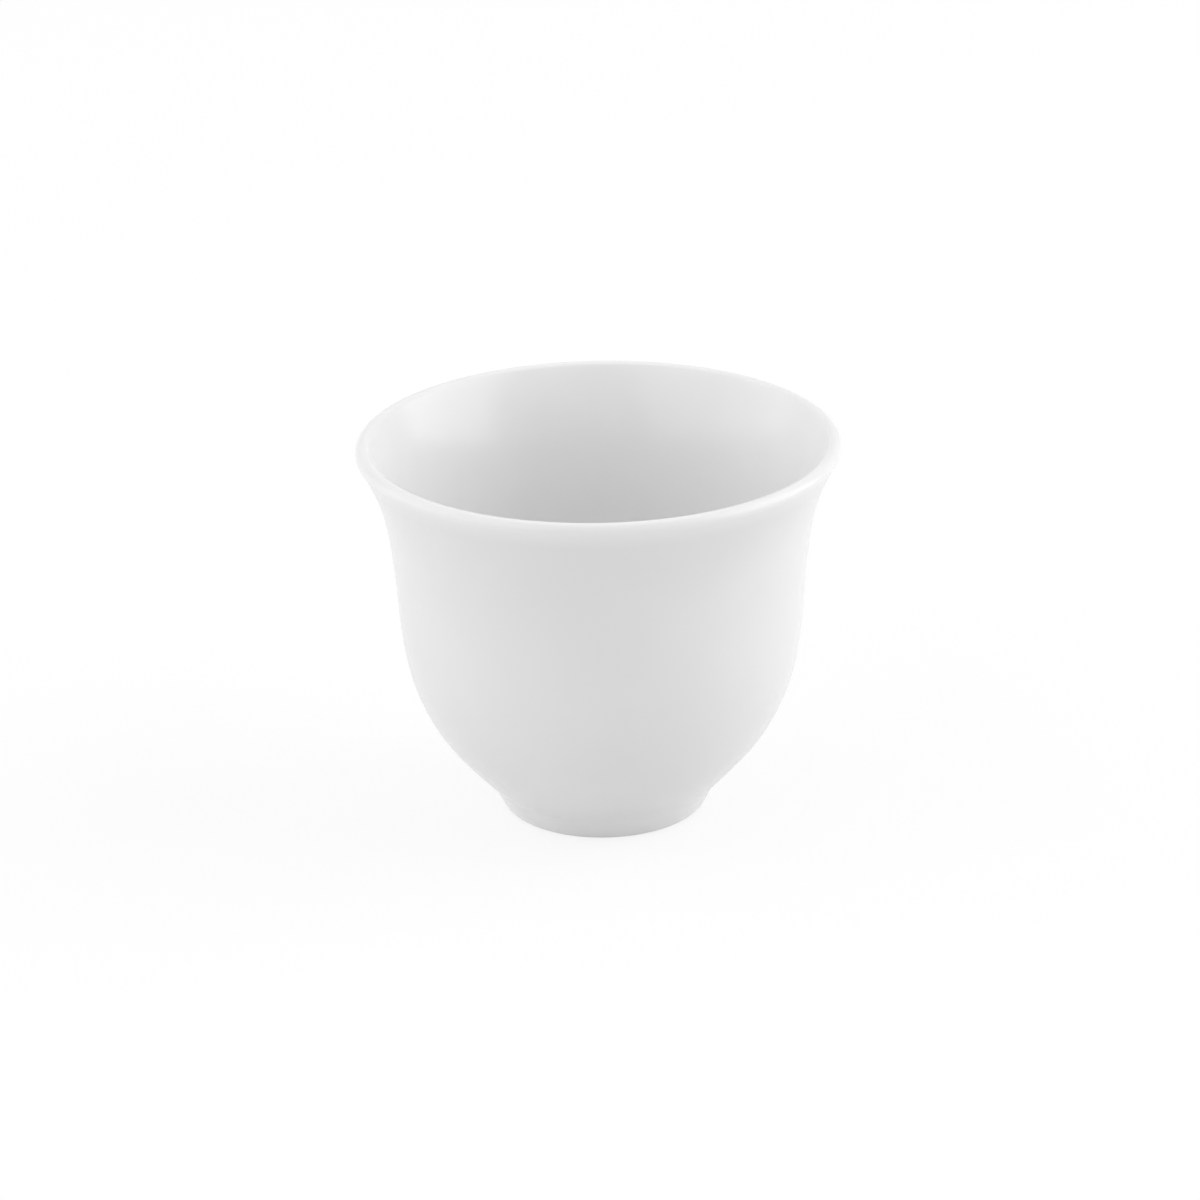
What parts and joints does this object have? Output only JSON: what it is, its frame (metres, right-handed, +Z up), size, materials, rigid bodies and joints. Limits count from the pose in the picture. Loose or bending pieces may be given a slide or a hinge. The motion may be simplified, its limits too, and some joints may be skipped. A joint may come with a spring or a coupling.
{
  "type": "arabic coffee cup",
  "caption": "Small handleless porcelain coffee cup with a bell-shaped wall, flared round lip and low foot ring, glazed white inside and out.",
  "frame": {"origin": "middle of the ring that the cup stands on", "axes": "+Z up along the axis that the cup is turned about; X and Y are free, because the cup is round"},
  "size_m": [0.065, 0.065, 0.0527],
  "materials": {
    "porcelain": "fired white porcelain, matt where it is bare on the foot",
    "outer_glaze": "glossy clear glaze over white porcelain",
    "inner_glaze": "glossy clear glaze over white porcelain"
  },
  "bodies": {
    "root": {"porcelain_body": "porcelain", "outer_glaze": "outer_glaze", "inner_glaze": "inner_glaze", "foot_well_glaze": "outer_glaze"}
  },
  "joints": []
}
